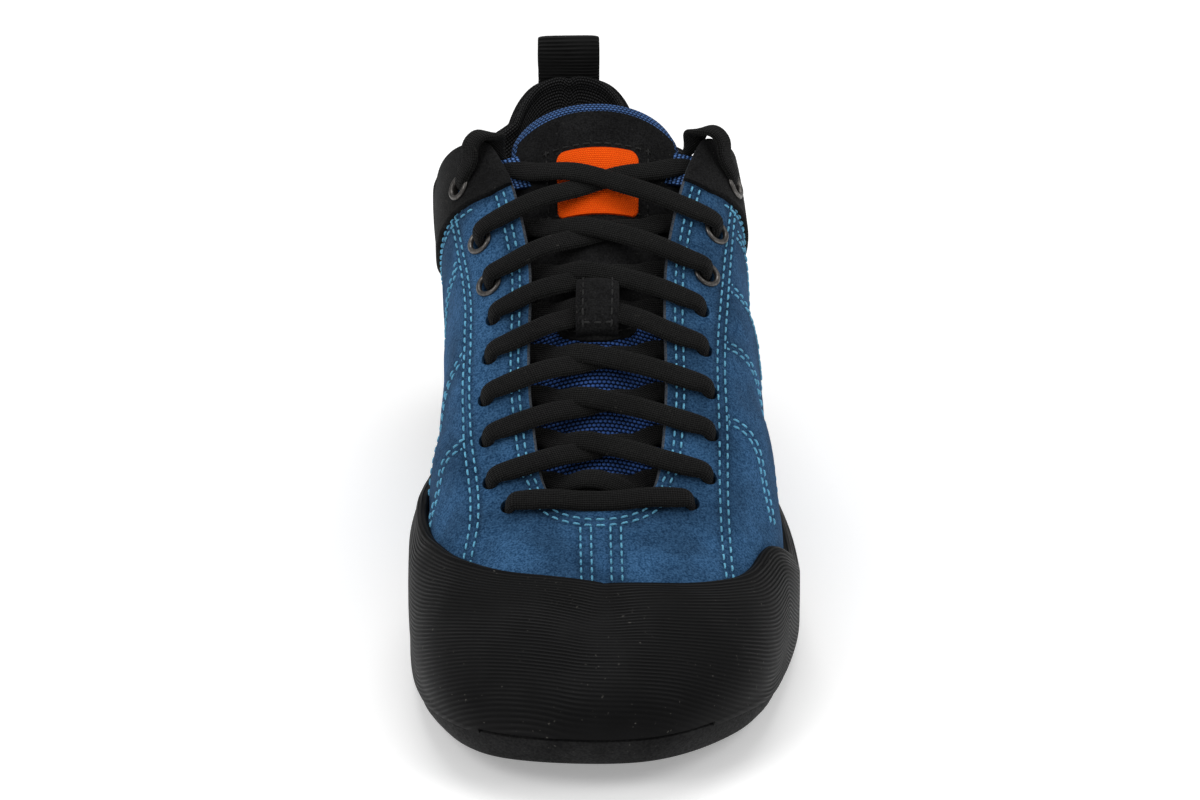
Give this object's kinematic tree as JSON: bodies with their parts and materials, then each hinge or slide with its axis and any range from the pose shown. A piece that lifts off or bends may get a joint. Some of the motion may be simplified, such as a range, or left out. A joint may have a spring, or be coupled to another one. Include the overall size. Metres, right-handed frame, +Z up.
{
  "type": "approach shoe",
  "caption": "Left low-cut approach shoe in blue suede with a black rubber toe rand, standing empty, lace-to-toe, on a flat studded rubber sole.",
  "frame": {"origin": "on the floor, at the middle of the shoe's length and width", "axes": "+Y runs from toe to heel, +X to the lateral side of this left shoe, +Z up"},
  "size_m": [0.1057, 0.2984, 0.1266],
  "materials": {
    "outsole_rubber": "smooth matt outsole rubber",
    "midsole_foam": "matt moulded foam",
    "insole_foam": "cloth-covered foam",
    "blue_suede": "brushed suede with a fine nap",
    "rand_rubber": "matt rubber with fine ribs",
    "black_nubuck": "matt nubuck",
    "lining_mesh": "fine air mesh over padding",
    "navy_mesh": "woven mesh",
    "orange_weave": "woven label cloth",
    "gunmetal": "dark satin metal",
    "lace_black": "braided cord",
    "webbing_black": "ribbed webbing",
    "stitch_blue": "sewing thread"
  },
  "bodies": {
    "root": {"outsole": "outsole_rubber", "midsole": "midsole_foam", "insole": "insole_foam", "upper": "blue_suede", "toe_rand": "rand_rubber", "heel_rand": "rand_rubber", "ankle_panel": "black_nubuck", "collar_lining": "lining_mesh", "tongue": "navy_mesh", "tongue_patch": "orange_weave", "lace_keeper": "black_nubuck", "eyelet_7_lateral": "gunmetal", "eyelet_7_medial": "gunmetal", "eyelet_8_lateral": "gunmetal", "eyelet_8_medial": "gunmetal", "eyelet_9_lateral": "gunmetal", "eyelet_9_medial": "gunmetal", "lace_bar": "lace_black", "lace_cross_1": "lace_black", "lace_cross_2": "lace_black", "lace_cross_3": "lace_black", "lace_cross_4": "lace_black", "lace_cross_5": "lace_black", "lace_cross_6": "lace_black", "lace_cross_7": "lace_black", "lace_cross_8": "lace_black", "lace_end_lateral": "lace_black", "lace_end_medial": "lace_black", "pull_loop": "webbing_black"}
  },
  "joints": []
}
